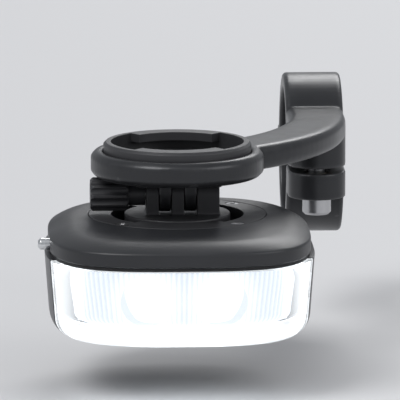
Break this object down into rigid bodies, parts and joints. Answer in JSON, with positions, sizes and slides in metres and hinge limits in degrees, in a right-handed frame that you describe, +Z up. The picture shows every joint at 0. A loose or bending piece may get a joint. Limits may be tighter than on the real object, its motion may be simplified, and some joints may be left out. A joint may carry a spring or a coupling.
{
  "type": "bike headlight",
  "caption": "Wide low bike headlight with a bowed lens, hung by a tilting quarter-turn plug from an out-front arm that clamps a handlebar and has a seat for a computer on top.",
  "frame": {"origin": "centre of the handlebar clamp's bore", "axes": "+X along the handlebar to the viewer's right, -Y forward along the beam, +Z up"},
  "size_m": [0.0764, 0.1426, 0.0464],
  "materials": {
    "arm_black": "satin black anodised aluminium",
    "steel": "plain steel fasteners",
    "insert_brass": "turned brass",
    "nylon_black": "black glass-filled nylon",
    "shell_black": "fine-grained black plastic",
    "body_grey": "dark grey anodised aluminium",
    "lens_clear": "clear polished plastic",
    "guide_lit": "clear moulded optic, lit from behind",
    "seal_rubber": "black rubber seal",
    "flap_rubber": "black moulded rubber",
    "button_silver": "turned aluminium, brushed",
    "window_clear": "clear green-tinted plastic",
    "bezel_white": "white moulded plastic",
    "led_chip": "light sources with a phosphor layer",
    "led_board_white": "white solder mask",
    "board_green": "green solder mask",
    "switch_grey": "dark grey plastic",
    "spreader": "bare milled aluminium",
    "cell_wrap": "blue shrink wrap over lithium cells",
    "lead_red": "insulated wire",
    "port_steel": "plated steel shell"
  },
  "bodies": {
    "bracket": {"bracket_arm": "arm_black", "clamp_hinge_pin": "steel", "clamp_insert": "insert_brass", "computer_puck": "nylon_black", "puck_screws": "steel"},
    "clamp_band": {"clamp_band": "arm_black"},
    "clamp_bolt": {"clamp_bolt": "steel"},
    "tilt_adapter": {"tilt_adapter": "nylon_black", "tilt_nut": "steel"},
    "tilt_knob": {"tilt_knob": "nylon_black", "tilt_bolt": "steel"},
    "light_head": {"upper_housing": "shell_black", "lower_housing": "body_grey", "front_lens": "lens_clear", "housing_gasket": "seal_rubber", "lens_gasket": "seal_rubber", "mount_socket": "nylon_black", "socket_screws": "steel", "tact_switch": "switch_grey", "switch_board": "board_green", "status_window": "window_clear", "housing_screws": "steel", "optic_panel": "guide_lit", "optic_bezel": "bezel_white", "leds": "led_chip", "led_board": "led_board_white", "led_leads": "lead_red", "heat_spreader": "spreader", "battery_pack": "cell_wrap", "battery_leads": "lead_red", "main_board": "board_green", "usb_socket": "port_steel"},
    "mode_button": {"mode_button": "button_silver", "button_seal": "seal_rubber"},
    "port_flap": {"port_flap": "flap_rubber"}
  },
  "joints": [
    {"name": "clamp_band_hinge", "type": "hinge", "parent": "bracket", "child": "clamp_band", "pos_m": [0, 0.0214, 0], "axis": [1, 0, 0], "range_deg": [0, 4]},
    {"name": "clamp_bolt_travel", "type": "slide", "parent": "bracket", "child": "clamp_bolt", "axis": [0, 0, -1], "range_m": [0, 0.0035]},
    {"name": "light_tilt", "type": "hinge", "parent": "bracket", "child": "tilt_adapter", "pos_m": [-0.036, -0.075, 0.0029], "axis": [1, 0, 0], "range_deg": [-15, 15]},
    {"name": "tilt_knob_turn", "type": "hinge", "parent": "tilt_adapter", "child": "tilt_knob", "pos_m": [-0.036, -0.075, 0.0029], "axis": [1, 0, 0], "continuous": true},
    {"name": "light_quarter_turn", "type": "hinge", "parent": "tilt_adapter", "child": "light_head", "pos_m": [-0.036, -0.075, -0.0019], "axis": [0, 0, 1], "range_deg": [-90, 0]},
    {"name": "mode_button_press", "type": "slide", "parent": "light_head", "child": "mode_button", "axis": [1, 0, 0], "range_m": [0, 0.0008], "stiffness_N_per_m": 1500},
    {"name": "port_flap_hinge", "type": "hinge", "parent": "light_head", "child": "port_flap", "pos_m": [-0.036, -0.0447, -0.0175], "axis": [-1, 0, 0], "range_deg": [0, 110]}
  ],
  "couplings": [
    {"joint": "clamp_bolt_travel", "follows": "clamp_band_hinge", "m_per_rad": 0.049}
  ]
}
